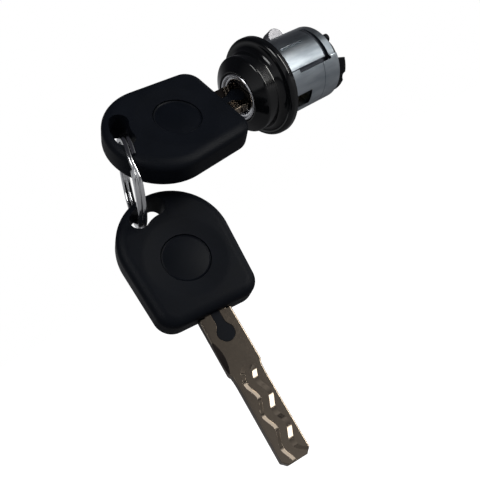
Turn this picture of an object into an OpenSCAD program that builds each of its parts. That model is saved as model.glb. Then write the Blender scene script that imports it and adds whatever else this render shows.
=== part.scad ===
// Ignition lock cylinder with its key in the keyway and a spare key on a split ring.
// The lock's axis is Y, its front faces -Y, and the origin is the centre of the flange's back face.

/* [Barrel] */
// Diameter of the die-cast barrel behind the flange
barrel_d = 24.4; // [24:0.1:26]
// Length of the barrel behind the flange
barrel_l = 23; // [22.5:0.5:26]
// Diameter of the plain seat next to the flange
seat_d = 24.9; // [24.8:0.1:26.4]
// Length of that seat
seat_l = 2.4; // [2:0.1:2.8]
// Diameter of the nose that the bezel fits over
nose_d = 20.4; // [19.6:0.1:21]
// Length of that nose
nose_l = 7; // [6.4:0.1:7.6]
// How far the lower shell stands proud of the upper one
shell_step = 0.25; // [0.1:0.05:0.5]
// How far the upper shell stops short of the lower one
shell_short = 0.6; // [0.3:0.1:1]
// Width of the long slot between the two shells
side_slot_w = 1.3; // [1:0.1:2]
// Length of the long slot
side_slot_l = 14; // [10:0.5:14]
// Depth of the long slot
side_slot_depth = 2.4; // [1:0.1:2.6]
// Width of the window over the wafers
window_w = 5.4; // [4:0.1:6]
// Length of the window over the wafers
window_l = 7.4; // [5:0.1:8]
// Thickness of the wall that carries the plug's tail
rear_wall_t = 2; // [1.6:0.1:2.4]
// Depth of the cavity at the rear of the barrel
rear_cavity_l = 2.5; // [2.3:0.1:3]
// Width of the groove that runs up from the rear of the slot
rear_groove_w = 1.8; // [1:0.1:2]

/* [Bezel] */
// Length of the bezel in front of the flange's back face
bezel_l = 10.8; // [10.2:0.1:11.6]
// Diameter of the flange
flange_d = 31.5; // [29:0.1:34]
// Thickness of the flange
flange_t = 2.6; // [2:0.1:3.2]
// Diameter of the collar in front of the flange
collar_d = 24.2; // [23.6:0.1:26]
// Distance from the flange's back face to the collar's front edge
collar_l = 8.8; // [8.5:0.1:9]
// Radius of the collar's front edge
collar_round = 0.9; // [0.6:0.1:1.2]
// Radius of the hollow between the collar and the flange
hollow_r = 2.2; // [1.4:0.1:2.6]
// Diameter of the opening for the face cup
opening_d = 15.2; // [14.6:0.1:15.6]

/* [Plug] */
// Diameter of the plug that turns in the barrel
plug_d = 16; // [15.7:0.1:16.3]
// Diameter of the plug's tail
tail_d = 13; // [12.6:0.1:13.4]
// Radial running clearance of the plug
running = 0.05; // [0.03:0.01:0.08]
// Length of the face cup in front of the plug
cup_l = 3.2; // [2.4:0.1:3.4]
// Thickness of the face cup's floor
cup_floor = 0.8; // [0.6:0.1:1.2]
// Thickness of the face cup's rim
cup_rim = 0.5; // [0.4:0.05:0.8]
// Clearance round the blade in the keyway
keyway_gap = 0.15; // [0.1:0.01:0.25]
// Thickness of the retaining clip
clip_t = 0.8; // [0.6:0.1:0.9]

/* [Driver] */
// Length over the driver's two wings
driver_d = 23; // [21:0.1:24]
// Thickness of the wings
driver_wing_t = 3.2; // [2.4:0.1:3.4]
// Angle that each wing covers, in degrees
driver_wing_sweep = 66; // [50:1:80]
// Thickness of the driver behind the plug's tail
driver_back = 1.5; // [1.4:0.1:2.4]

/* [Wafers] */
// Thickness of a wafer
wafer_t = 1; // [0.8:0.05:1.05]
// Distance from wafer to wafer
wafer_pitch = 2.1; // [1.9:0.05:2.15]
// Width of a wafer across the blade's thickness
wafer_w = 7; // [6.6:0.1:7.1]
// Width of the tooth that rides in the key's track
tooth_w = 0.8; // [0.6:0.05:0.85]

/* [Retaining lug] */
// Length of the lug along the barrel
lug_l = 6; // [5:0.1:6.4]
// Width of the lug across the barrel
lug_w = 4; // [3.8:0.1:5]
// How far the lug stands out of the barrel
lug_out = 2.6; // [2.2:0.1:3]
// Distance from the flange to the middle of the lug
lug_y = 13.2; // [10:0.1:13.4]

/* [Key head] */
// Width of the key's head
head_w = 33; // [31:0.1:35]
// Length of the key's head
head_l = 39.4; // [38:0.1:42]
// Thickness of the key's head
head_t = 9; // [8.6:0.1:10]
// Width of the head at the blade's end
head_foot_w = 30.8; // [29:0.1:32]
// Radius of the head's two lower corners
head_corner_r = 5.5; // [4:0.1:7]
// Diameter of the plain disc in each face
disc_d = 14.1; // [12:0.1:15]
// Thickness of that disc
disc_t = 0.9; // [0.7:0.05:1.1]
// Depth of the dished face
dish_depth = 0.8; // [0.6:0.05:1]
// Width of the hole for the ring
hole_w = 5.6; // [5.5:0.1:5.8]
// Sweep of the hole along the rim, in degrees
hole_sweep = 33; // [31:1:38]
// Thickness of the rim outside the hole
hole_rim = 2.1; // [2:0.05:2.2]

/* [Key blade] */
// Width of the blade
blade_w = 9.1; // [8.9:0.1:9.2]
// Thickness of the blade
blade_t = 3; // [2.8:0.05:3.1]
// Length of the blade from the head to the tip
blade_l = 43.4; // [42:0.1:43.6]
// Width of the blade's shoulder next to the head
shoulder_w = 10; // [9.6:0.1:10.2]
// Length of the shoulder
shoulder_l = 17; // [16:0.1:17.2]
// Gap between the head and the front of the bezel
key_gap = 6.7; // [6.5:0.1:8]
// Width of the wavy track
track_w = 3.9; // [3.8:0.05:4.2]
// Depth of the wavy track
track_depth = 0.8; // [0.7:0.05:0.95]
// Sideways swing of the track from its middle
track_swing = 0.7; // [0.4:0.05:0.7]
// Length of one wave of the track
track_wave = 9; // [7:0.5:12]

/* [Split ring] */
// Outer diameter of the ring
ring_d = 27; // [26.6:0.1:27.6]
// Width of the ring's wire across the ring
ring_band = 2; // [1.6:0.1:2.1]
// Thickness of the ring's wire
ring_wire = 1.2; // [1:0.05:1.25]

/* [Hidden] */
$fn = 64;
WAFERS = 8;

// Small fits and allowances
fit = 0.04;
seat_gap = 0.1;
eps = 0.01;
over = 1;

// Barrel, from the front to the rear
barrel_r = barrel_d / 2;
nose_r = nose_d / 2;
plug_r = plug_d / 2;
tail_r = tail_d / 2;
bore_r = plug_r + running;
plug_front = -nose_l;
rear_wall_y = barrel_l - rear_cavity_l - rear_wall_t;
cavity_y = barrel_l - rear_cavity_l;
cavity_r = barrel_r - 2;
side_slot_y = 6;
side_slot_angle = -13;
window_y = seat_l + 0.2;
rear_groove_depth = 1.3;
rear_groove_y = barrel_l - 5.1;
rear_groove_shift = 1.9;
line_groove_w = 0.4;
line_groove_depth = 0.25;
line_groove_y = barrel_l - 7.2;
shell_sweep = 150;
shell_angle = side_slot_angle + 0.6 * asin(side_slot_w / barrel_d);

// Key: v is across the blade, u along it from the middle of the head's round end, n out of its face
key_roll = 60;
head_r = head_w / 2;
head_foot = head_l - head_r;
head_side_h = 4.2;
head_bevels = [[0, 0], [0.5, 0.52], [1.6, 0.86], [3.2, 1]];
disc_u = 6;
disc_seat = 0.7;
dish_r = 12.6;
dish_steps = 6;
cap_r = 9;
cap_inner_h = 3.4;
cap_outer_h = 1.8;
cap_tilt = 8;
hole_mid_r = head_r - hole_rim - hole_w / 2;
hole_angle = 18.6;
hole_steps = 12;
seat_r = [hole_mid_r - 0.9, hole_mid_r - 0.29];
seat_angle = [hole_angle + 7.9, hole_angle + 11.9];
tang_l = 14;
tang_w = 7.2;
tongue_neck_w = 2.7;
tongue_end_r = 2.65;
tongue_end_u = head_foot + 6.2;
tongue_root = 3;
blade_tip_u = head_foot + blade_l;
shoulder_u = head_foot + shoulder_l;
tip_cut = 1.4;
edge_bevel = 0.45;
scoop_r = 16;
scoop_depth = 0.9;
scoop_from_head = 13.6;
scoop_u = head_foot + scoop_from_head;
key_y = -bezel_l - key_gap - head_foot;
track_start_u = shoulder_u + 1.6;
track_mouth_l = 3;
track_mouth_w = 6.4;
track_steps = 36;

// Plug and what it carries
tip_gap = 0.25;
tail_cap = 0.3;
tail_hold = 3.4;
keyway_end = key_y + blade_tip_u + tip_gap;
tail_end = max(keyway_end + tail_cap, barrel_l + tail_hold);
wide_keyway_end = key_y + shoulder_u + keyway_gap;
clip_groove_depth = 0.6;
clip_y = cavity_y + seat_gap;
clip_r = tail_r + 1.5;
clip_gap_angle = 60;
tail_seat_r = tail_r - 0.7;
tail_flat = 3;
wafer_y0 = 2.2;
wafer_r = plug_r - 0.15;
wafer_slot_gap = 0.05;
window_gap = 0.25;
wafer_play = track_swing;
ear_v = [1.6, 2.8];
ear_n = wafer_w / 2 + 2.4;
spring_coil_r = 0.7;
spring_wire_r = 0.2;
spring_turns = 4;
spring_hole_r = 1;
spring_n = wafer_w / 2 + 1.4;
spring_foot_v = -4.2;
wafer_groove_depth = 1;

// Driver
driver_y = barrel_l + 0.3;
driver_end = tail_end + driver_back;
driver_hub_r = cavity_r - 0.8;
driver_hub_y = clip_y + clip_t + 0.3;
driver_end_r = tail_seat_r + 1;
driver_wing_angle = -57;
driver_notch_r = 2.4;
driver_notch_depth = 0.7;
driver_lobe_at = [8.4, 27];
driver_lobe_r = 1.4;
dog_slot = [10, 3.2, 0.9];

// Retaining lug
lug_flange = [lug_w + 1, lug_l + 1, 0.7];
lug_lip_t = 0.65;
lug_flange_top = barrel_r - lug_lip_t - seat_gap;
lug_base = lug_flange_top - lug_flange[2];
lug_pocket_floor = bore_r + wafer_groove_depth - 0.2;
lug_tip = barrel_r + lug_out;
lug_spring_r = 1.1;
lug_spring_wire_r = 0.18;
lug_spring_turns = 5;
lug_spring_hole_r = 1.5;
lug_spring_top = lug_tip - 1.4;

// Ring and spare key, hung from the first key's hole
ring_mid_r = (ring_d - ring_band) / 2;
ring_gap = 0.1;
ring_segments = 96;
ring_turn = [-156.8, -70.5, 51.2];
ring_cross_at = 78;
spare_turn = [-109.5, 7, 83];
hole_world = turned([0, key_roll, 0], ring_seat(0) + [0, key_y, 0]);
ring_centre = hole_world - turned(ring_turn, [ring_mid_r, 0, 0]);
spare_hole = ring_centre - turned(ring_turn, [ring_mid_r, 0, 0]);

// Point p turned about X, then Y, then Z, in the order that rotate() uses
function turned_x(a, p) = [p[0], p[1] * cos(a) - p[2] * sin(a), p[1] * sin(a) + p[2] * cos(a)];
function turned_y(a, p) = [p[0] * cos(a) + p[2] * sin(a), p[1], -p[0] * sin(a) + p[2] * cos(a)];
function turned_z(a, p) = [p[0] * cos(a) - p[1] * sin(a), p[0] * sin(a) + p[1] * cos(a), p[2]];
function turned(a, p) = turned_z(a[2], turned_y(a[1], turned_x(a[0], p)));

// Place of the ring's wire in the hole of key i, in that key's frame
function ring_seat(i) = [-seat_r[i] * sin(seat_angle[i]), -seat_r[i] * cos(seat_angle[i]), 0];

// Middle of the track at u, across the blade
function track_v(u) = track_swing * sin(360 * (u - track_start_u) / track_wave);

// Half width of the track at u: it opens to a mouth at the tip
function track_half(u) =
    let (k = max(0, (u - (blade_tip_u - track_mouth_l)) / track_mouth_l))
    track_w / 2 + k * (track_mouth_w - track_w) / 2;

// Front of wafer i, along Y
function wafer_y(i) = wafer_y0 + (i - 1) * wafer_pitch;

// Rings of points joined into one closed tube
module tube(rings) {
    sides = len(rings[0]);
    last = len(rings) - 1;
    points = [for (ring = rings) each ring];
    walls = [for (i = [0 : last - 1], j = [0 : sides - 1])
        let (k = (j + 1) % sides)
        [i * sides + j, i * sides + k, (i + 1) * sides + k, (i + 1) * sides + j]];
    start = [for (j = [sides - 1 : -1 : 0]) j];
    end = [for (j = [0 : sides - 1]) last * sides + j];
    polyhedron(points, concat([start], walls, [end]), convexity = 10);
}

// Round-wire compression spring along Z, from z = 0 to z = h
module coil_spring(coil_r, wire_r, turns, h) {
    sides = 5;
    per_turn = 9;
    steps = turns * per_turn;
    rise = h - 2 * wire_r;
    tube([for (i = [0 : steps])
        let (a = 360 * i / per_turn, z = wire_r + rise * i / steps)
        [for (j = [0 : sides - 1])
            let (b = 360 * j / sides, r = coil_r + wire_r * cos(b))
            [r * cos(a), r * sin(a), z + wire_r * sin(b)]]]);
}

// Turns a shape made along Z so that it runs along +Y; its X stays X and its Y becomes -Z
module along_axis() {
    rotate([-90, 0, 0]) children();
}

// Turns a radial shape made on +X to an angle on the barrel, from +X towards +Z
module at_angle(a) {
    rotate([0, -a, 0]) children();
}

// Key frame of the lock: X across the blade, Z out of its face
module in_key_frame() {
    rotate([0, key_roll, 0]) children();
}

// Plate across the axis, from y to y + t, drawn with X across the blade and Y out of its face
module plate(y, t) {
    translate([0, y + t, 0]) rotate([90, 0, 0]) linear_extrude(t) children();
}

// Ring profile turned about the lock's axis
module lathe(sweep = 360) {
    along_axis() rotate_extrude(angle = sweep) children();
}

// Rectangle in a lathe profile, between two radii and two places on the axis
module band(r0, r1, y0, y1) {
    translate([r0, y0]) square([r1 - r0, y1 - y0]);
}

// Die-cast barrel: two shells, rear ring, nose, bore and pockets
module barrel_housing() {
    upper_r = barrel_r - shell_step;
    color("silver") difference() {
        union() {
            lathe() {
                band(0, seat_d / 2, 0, seat_l);
                band(0, upper_r, 0, barrel_l - shell_short);
                band(0, nose_r, plug_front, eps);
            }
            in_lower_shell() lathe() band(0, barrel_r, 0, barrel_l);
        }
        lathe() {
            band(0, bore_r, plug_front - over, rear_wall_y);
            band(0, tail_r + running, rear_wall_y - eps, cavity_y + eps);
            band(0, cavity_r, cavity_y, barrel_l + over);
        }
        wafer_grooves();
        side_slot();
        wafer_window();
        shell_grooves();
        lug_pocket();
    }
}

// Keeps the part of its child that lies in the lower shell
module in_lower_shell() {
    intersection() {
        children();
        at_angle(shell_angle) lathe(shell_sweep) band(0, barrel_r + over, -over, barrel_l + over);
    }
}

// Grooves in the bore where the wafers catch when the key is out
module wafer_grooves() {
    groove_r = bore_r + wafer_groove_depth;
    groove_l = wafer_y(WAFERS) + wafer_t + over - wafer_y0;
    in_key_frame()
        intersection() {
            translate([-groove_r, wafer_y0 - over, -wafer_w / 2 - seat_gap])
                cube([2 * groove_r, groove_l, wafer_w + 2 * seat_gap]);
            lathe() band(0, groove_r, 0, barrel_l);
        }
}

// Long slot on the line between the two shells
module side_slot() {
    at_angle(side_slot_angle)
        translate([barrel_r - side_slot_depth, side_slot_y, -side_slot_w / 2])
            cube([side_slot_depth + over, side_slot_l, side_slot_w]);
}

// Window through the wall, over the ends of the wafers
module wafer_window() {
    in_key_frame()
        translate([plug_r, window_y, -window_w / 2])
            cube([barrel_r, window_l, window_w]);
}

// Groove in the upper shell, deepest at the slot and running out above it, and a fine line round the lower shell
module shell_grooves() {
    floor_r = barrel_r - rear_groove_depth + rear_groove_shift;
    difference() {
        lathe() band(0, barrel_r + over, rear_groove_y, rear_groove_y + rear_groove_w);
        at_angle(side_slot_angle) translate([-rear_groove_shift, 0, 0]) lathe() band(0, floor_r, 0, barrel_l);
        at_angle(side_slot_angle) lathe(shell_sweep) band(0, barrel_r + 2 * over, 0, barrel_l);
    }
    in_lower_shell()
        lathe() band(barrel_r - line_groove_depth, barrel_r + over, line_groove_y, line_groove_y + line_groove_w);
}

// Pocket for the lug: a chamber for its flange under a narrower mouth
module lug_pocket() {
    chamber_w = lug_flange[0] + 2 * seat_gap;
    chamber_l = lug_flange[1] + 2 * seat_gap;
    mouth_w = lug_w + 2 * seat_gap;
    mouth_l = lug_l + 2 * seat_gap;
    chamber_top = barrel_r - lug_lip_t;
    translate([-chamber_w / 2, lug_y - chamber_l / 2, lug_pocket_floor])
        cube([chamber_w, chamber_l, chamber_top - lug_pocket_floor]);
    translate([-mouth_w / 2, lug_y - mouth_l / 2, lug_pocket_floor])
        cube([mouth_w, mouth_l, barrel_r]);
}

// Moulded bezel: flange, hollow, collar and sloped front round the face cup
module bezel() {
    edge_r = collar_d / 2 - collar_round;
    edge_y = -collar_l + collar_round;
    opening_r = opening_d / 2;
    lip_r = 0.45;
    rim_r = flange_t / 2;
    rim_y = rim_r - flange_t;
    slope = atan2(bezel_l - collar_l - lip_r, edge_r - opening_r - lip_r);
    tangent = [edge_r + collar_round * sin(slope), edge_y - collar_round * cos(slope)];
    lip_c = [opening_r + lip_r, -bezel_l + lip_r];
    lip_tangent = lip_c + lip_r * [sin(slope), -cos(slope)];
    inner = nose_r + fit;
    color([0.06, 0.06, 0.07]) lathe() difference() {
        union() {
            band(opening_r, collar_d / 2, edge_y, 0);
            polygon([[opening_r, edge_y], [opening_r, lip_c[1]], lip_c, lip_tangent, tangent, [edge_r, edge_y]]);
            translate([edge_r, edge_y]) circle(collar_round);
            translate(lip_c) circle(lip_r);
            band(opening_r, flange_d / 2 - rim_r, -flange_t, 0);
            band(opening_r, flange_d / 2, rim_y, 0);
            translate([flange_d / 2 - rim_r, rim_y]) circle(rim_r);
            difference() {
                band(collar_d / 2 - eps, collar_d / 2 + hollow_r, -flange_t - hollow_r, -flange_t + eps);
                translate([collar_d / 2 + hollow_r, -flange_t - hollow_r]) circle(hollow_r);
            }
        }
        band(0, inner, plug_front - fit, over);
    }
}

// Sprung lug that holds the lock in its column
module retaining_lug() {
    stem_h = lug_tip - lug_flange_top;
    color("gainsboro") difference() {
        union() {
            translate([-lug_flange[0] / 2, lug_y - lug_flange[1] / 2, lug_base]) cube([lug_flange[0], lug_flange[1], lug_flange[2]]);
            intersection() {
                translate([-lug_w / 2, lug_y - lug_l / 2, lug_base]) cube([lug_w, lug_l, stem_h + lug_flange[2]]);
                translate([-lug_w, lug_y, lug_tip - lug_l / 2]) rotate([0, 90, 0]) lug_round_top();
            }
        }
        translate([0, lug_y, lug_base - over]) cylinder(r = lug_spring_hole_r, h = lug_spring_top - lug_base + over);
    }
}

// Round-topped side view of the lug, drawn across its width
module lug_round_top() {
    cylinder(r = lug_l / 2, h = 2 * lug_w);
    translate([0, -lug_l / 2, 0]) cube([lug_tip, lug_l, 2 * lug_w]);
}

// Spring under the lug
module lug_spring() {
    color("lightsteelblue") translate([0, lug_y, lug_pocket_floor])
        coil_spring(lug_spring_r, lug_spring_wire_r, lug_spring_turns, lug_spring_top - lug_pocket_floor - 2 * eps);
}

// Plug with its keyway, wafer slots and spring holes, and the tail that turns the driver
module plug() {
    color("darkkhaki") difference() {
        union() {
            lathe() {
                band(0, plug_r, plug_front, rear_wall_y - seat_gap);
                band(0, tail_r, rear_wall_y - over, clip_y + clip_t + seat_gap);
            }
            intersection() {
                lathe() band(0, tail_seat_r, clip_y, tail_end);
                in_key_frame() translate([-tail_r, clip_y, -tail_flat]) cube([2 * tail_r, barrel_l, 2 * tail_flat]);
            }
        }
        lathe() band(tail_r - clip_groove_depth, tail_r + over, clip_y - fit, clip_y + clip_t + fit);
        keyway(plug_front - over);
        for (i = [1 : WAFERS]) in_key_frame() rotate([0, wafer_side(i), 0]) wafer_space(i);
    }
}

// Wafers face one way and the other in turn
function wafer_side(i) = i % 2 == 1 ? 0 : 180;

// Room for the key, wide at the front for its shoulder
module keyway(front) {
    slot_t = blade_t + 2 * keyway_gap;
    in_key_frame() {
        translate([-blade_w / 2 - keyway_gap, front, -slot_t / 2])
            cube([blade_w + 2 * keyway_gap, keyway_end - front, slot_t]);
        translate([-shoulder_w / 2 - keyway_gap, front, -slot_t / 2])
            cube([shoulder_w + 2 * keyway_gap, wide_keyway_end - front, slot_t]);
    }
}

// Slot, ear pocket and spring hole that wafer i needs in the plug
module wafer_space(i) {
    slot_t = wafer_t + 2 * wafer_slot_gap;
    slot_w = wafer_w + 2 * wafer_slot_gap;
    y = wafer_y(i) - wafer_slot_gap;
    translate([-plug_r - over, y, -slot_w / 2]) cube([2 * (plug_r + over), slot_t, slot_w]);
    translate([ear_v[0] - wafer_play, y, 0])
        cube([ear_v[1] - ear_v[0] + 2 * wafer_play, slot_t, ear_n + wafer_slot_gap]);
    translate([spring_foot_v, y + slot_t / 2, spring_n])
        rotate([0, 90, 0]) cylinder(r = spring_hole_r, h = ear_v[0] - spring_foot_v);
}

// Flat wafer with its window, its ear for the spring and its tooth in the track
module wafer(i) {
    tooth_v = track_v(wafer_y(i) + wafer_t / 2 - key_y);
    window_n = blade_t / 2 + window_gap;
    window_v = blade_w / 2 + wafer_play;
    tooth_tip = blade_t / 2 - track_depth + seat_gap;
    color("goldenrod") in_key_frame() rotate([0, wafer_side(i), 0]) plate(wafer_y(i), wafer_t) {
        difference() {
            union() {
                intersection() {
                    circle(wafer_r);
                    square([2 * wafer_r, wafer_w], center = true);
                }
                translate([ear_v[0], 0]) square([ear_v[1] - ear_v[0], ear_n]);
            }
            square([2 * window_v, 2 * window_n], center = true);
        }
        translate([tooth_v - tooth_w / 2, tooth_tip]) square([tooth_w, window_n + eps - tooth_tip]);
    }
}

// Spring that pushes wafer i by its ear
module wafer_spring(i) {
    color("lightsteelblue") in_key_frame() rotate([0, wafer_side(i), 0])
        translate([spring_foot_v, wafer_y(i) + wafer_t / 2, spring_n])
            rotate([0, 90, 0])
                coil_spring(spring_coil_r, spring_wire_r, spring_turns, ear_v[0] - spring_foot_v - 2 * eps);
}

// Plated cup round the keyway, on the front of the plug
module face_cup() {
    cup_r = opening_d / 2 - 0.15;
    floor_r = cup_r - cup_rim - 0.9;
    front = plug_front - cup_l;
    color("white") difference() {
        lathe() difference() {
            band(0, cup_r, front, plug_front);
            polygon([[0, front - eps], [cup_r - cup_rim, front - eps], [floor_r, plug_front - cup_floor],
                [0, plug_front - cup_floor]]);
        }
        keyway(front - over);
    }
}

// Open ring in the tail's groove, behind the barrel's rear wall
module retaining_clip() {
    color("dimgray") rotate([0, clip_gap_angle, 0]) lathe(360 - clip_gap_angle)
        band(tail_r - clip_groove_depth + fit, clip_r, clip_y, clip_y + clip_t);
}

// Wing of the driver: a sector with a shallow notch in its rim
module driver_wing() {
    wing_r = driver_d / 2;
    half = driver_wing_sweep / 2;
    difference() {
        intersection() {
            circle(wing_r);
            polygon([[0, 0], [barrel_d * cos(half), -barrel_d * sin(half)], [barrel_d * cos(half), barrel_d * sin(half)]]);
        }
        translate([wing_r - driver_notch_depth + driver_notch_r, 0]) circle(driver_notch_r);
    }
}

// Winged driver on the tail's flats, with the slot that turns the switch behind it
module driver() {
    color([0.09, 0.09, 0.1]) difference() {
        union() {
            lathe() {
                band(0, driver_hub_r, driver_hub_y, driver_y + eps);
                band(0, driver_end_r, driver_y, driver_end);
            }
            along_axis() translate([0, 0, driver_y]) linear_extrude(driver_wing_t)
                for (half_turn = [0, 180]) rotate(half_turn) {
                    rotate(-driver_wing_angle) driver_wing();
                    rotate(-driver_lobe_at[1]) translate([driver_lobe_at[0], 0]) circle(driver_lobe_r);
                    rotate(-driver_lobe_at[1]) translate([0, -driver_lobe_r]) square([driver_lobe_at[0], 2 * driver_lobe_r]);
                }
        }
        intersection() {
            lathe() band(0, tail_seat_r + fit, driver_hub_y - over, tail_end + fit);
            in_key_frame() translate([-barrel_r, driver_hub_y - over, -tail_flat - fit])
                cube([barrel_d, barrel_l, 2 * (tail_flat + fit)]);
        }
        translate([-dog_slot[0] / 2, driver_end - dog_slot[2], -dog_slot[1] / 2])
            cube([dog_slot[0], dog_slot[2] + over, dog_slot[1]]);
    }
}

// Keyhole-shaped tongue of the head, seen on the blade's face
module tongue_plan(gap) {
    translate([0, tongue_end_u]) circle(tongue_end_r - gap);
    translate([-tongue_neck_w / 2 + gap, head_foot - tongue_root])
        square([tongue_neck_w - 2 * gap, tongue_end_u - head_foot + tongue_root]);
}

// Plan of the blade, grown by a gap all round; the tang is inside the head
module blade_plan(gap) {
    tip_w = blade_w / 2 - tip_cut;
    translate([-tang_w / 2 - gap, head_foot - tang_l - gap]) square([tang_w + 2 * gap, tang_l + 2 * gap]);
    translate([-shoulder_w / 2 - gap, head_foot - gap]) square([shoulder_w + 2 * gap, shoulder_l + gap]);
    polygon([[-blade_w / 2 - gap, shoulder_u - over], [blade_w / 2 + gap, shoulder_u - over],
        [blade_w / 2 + gap, blade_tip_u - tip_cut], [tip_w, blade_tip_u], [-tip_w, blade_tip_u],
        [-blade_w / 2 - gap, blade_tip_u - tip_cut]]);
}

// Wavy track in one face, open at the tip
module track_plan() {
    run = blade_tip_u + over - track_start_u;
    steps = [for (i = [0 : track_steps]) track_start_u + run * i / track_steps];
    polygon(concat(
        [for (u = steps) [track_v(u) + track_half(u), u]],
        [for (i = [track_steps : -1 : 0]) [track_v(steps[i]) - track_half(steps[i]), steps[i]]]
    ));
    translate([track_v(track_start_u), track_start_u]) circle(track_w / 2);
}

// Bevelled bar that the blade is cut from
module bevelled_bar(w, u0, u1) {
    h = blade_t / 2;
    e = edge_bevel;
    translate([0, u1, 0]) rotate([90, 0, 0]) linear_extrude(u1 - u0)
        polygon([[-w / 2 + e, -h], [w / 2 - e, -h], [w / 2, -h + e], [w / 2, h - e],
            [w / 2 - e, h], [-w / 2 + e, h], [-w / 2, h - e], [-w / 2, -h + e]]);
}

// Steel blade with its shoulder, scooped edges and a wavy track in each face
module key_blade() {
    color("lightgray") difference() {
        intersection() {
            translate([0, 0, -blade_t]) linear_extrude(2 * blade_t) blade_plan(0);
            union() {
                bevelled_bar(shoulder_w, head_foot - tang_l, shoulder_u);
                bevelled_bar(blade_w, shoulder_u - over, blade_tip_u);
            }
        }
        translate([0, 0, -blade_t]) linear_extrude(2 * blade_t) tongue_plan(0);
        for (side = [0, 180]) rotate([0, side, 0]) {
            translate([0, 0, blade_t / 2 - track_depth]) linear_extrude(track_depth + over) track_plan();
            translate([-shoulder_w / 2, scoop_u, blade_t / 2])
                rotate([0, -45, 0])
                    translate([0, 0, scoop_r - scoop_depth])
                        rotate([0, 90, 0]) cylinder(r = scoop_r, h = 4 * blade_t, center = true);
        }
    }
}

// Plan of the head: a round end, straight sides that draw in, and two rounded corners
module head_plan(inset) {
    corner_x = head_foot_w / 2 - head_corner_r;
    hull() {
        circle(head_r - inset);
        for (side = [-1, 1]) translate([side * corner_x, head_foot - head_corner_r]) circle(head_corner_r - inset);
    }
}

// Slice of the head's plan, between -h and h
module head_slice(inset, h) {
    translate([0, 0, -h]) linear_extrude(2 * h) head_plan(inset);
}

// Hole for the ring, bent along the rim: two arcs and two round ends as one outline
module hole_plan() {
    a0 = hole_angle - hole_sweep / 2;
    a1 = hole_angle + hole_sweep / 2;
    polygon(concat(
        hole_arc(hole_mid_r + hole_w / 2, a0, a1),
        hole_end(a1, 0),
        hole_arc(hole_mid_r - hole_w / 2, a1, a0),
        hole_end(a0, 180)
    ));
}

function hole_arc(r, from, to) = [for (i = [0 : hole_steps]) let (a = from + (to - from) * i / hole_steps)
    [-r * sin(a), -r * cos(a)]];

function hole_end(a, start) = [for (i = [1 : hole_steps - 1]) let (t = start + 180 * i / hole_steps)
    hole_mid_r * [-sin(a), -cos(a)]
    + hole_w / 2 * (cos(t) * [-sin(a), -cos(a)] + sin(t) * [-cos(a), sin(a)])];

// Shallow dish in a face, drawn as the solid that is cut away
module dish() {
    sphere_r = (dish_r * dish_r + dish_depth * dish_depth) / (2 * dish_depth);
    rim = asin(dish_r / sphere_r);
    rotate_extrude() polygon(concat(
        [for (i = [0 : dish_steps])
            let (a = rim * i / dish_steps)
            [sphere_r * sin(a), sphere_r * (1 - cos(a)) - dish_depth]],
        [[dish_r, over], [0, over]]
    ));
}

// Slope of the lowered end round the ring hole, drawn as the solid that is cut away
module cap_slope() {
    far_r = head_w;
    lift = cap_r * sin(cap_tilt);
    fall = (cap_inner_h - cap_outer_h) / (head_r - cap_r) - sin(cap_tilt);
    inner_h = cap_inner_h + lift;
    intersection() {
        rotate([cap_tilt, 0, 0]) rotate_extrude()
            polygon([[cap_r, inner_h], [far_r, inner_h - fall * (far_r - cap_r)], [far_r, head_t], [cap_r, head_t]]);
        translate([-head_w, -head_w, 0]) cube([2 * head_w, head_w, head_t]);
    }
}

// Moulded head: dished faces, lowered end with the ring hole, disc seats, and the tongue on the blade
module key_head() {
    top = head_t / 2;
    side_h = head_side_h / 2;
    color([0.12, 0.12, 0.14]) {
        difference() {
            hull() for (b = head_bevels) head_slice(b[0], side_h + b[1] * (top - side_h));
            translate([0, 0, -head_t]) linear_extrude(2 * head_t) hole_plan();
            translate([0, 0, -blade_t / 2 - fit]) linear_extrude(blade_t + 2 * fit) difference() {
                blade_plan(fit);
                tongue_plan(fit);
            }
            for (side = [0, 180]) rotate([0, side, 0]) {
                translate([0, disc_u, top]) dish();
                translate([0, disc_u, top - dish_depth - disc_seat]) cylinder(d = disc_d + 2 * fit, h = head_t);
                cap_slope();
            }
        }
        translate([0, 0, -blade_t / 2]) linear_extrude(blade_t) tongue_plan(fit);
    }
}

// Plain disc in one face of the head
module key_disc(side) {
    color([0.16, 0.16, 0.18]) rotate([0, side, 0])
        translate([0, disc_u, head_t / 2 - dish_depth - disc_seat]) cylinder(d = disc_d, h = disc_t);
}

// Place of the key in the lock
module in_lock() {
    in_key_frame() translate([0, key_y, 0]) children();
}

// Place of the spare key on the ring
module on_ring() {
    translate(spare_hole) rotate(spare_turn) translate(-ring_seat(1)) children();
}

// Height of the ring's wire after turning by a: two flat turns with a short cross-over between them
function ring_rise(a) =
    let (k = min(1, max(0, (a - 340) / 40)))
    (ring_wire + ring_gap) * (k * k * (3 - 2 * k) - 0.5);

// Split ring of flat wire with rounded edges
module split_ring() {
    half_w = ring_band / 2;
    half_t = ring_wire / 2;
    edge = ring_wire / 4;
    section = [[half_w, -half_t + edge], [half_w, half_t - edge], [half_w - edge, half_t], [-half_w + edge, half_t],
        [-half_w, half_t - edge], [-half_w, -half_t + edge], [-half_w + edge, -half_t], [half_w - edge, -half_t]];
    ends = 700;
    color("gray") translate(ring_centre) rotate(ring_turn)
        rotate(ring_cross_at) tube([for (i = [0 : ring_segments])
            let (a = ends * i / ring_segments, z = ring_rise(a))
            [for (s = section) [(ring_mid_r + s[0]) * cos(a), (ring_mid_r + s[0]) * sin(a), z + s[1]]]]);
}

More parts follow.
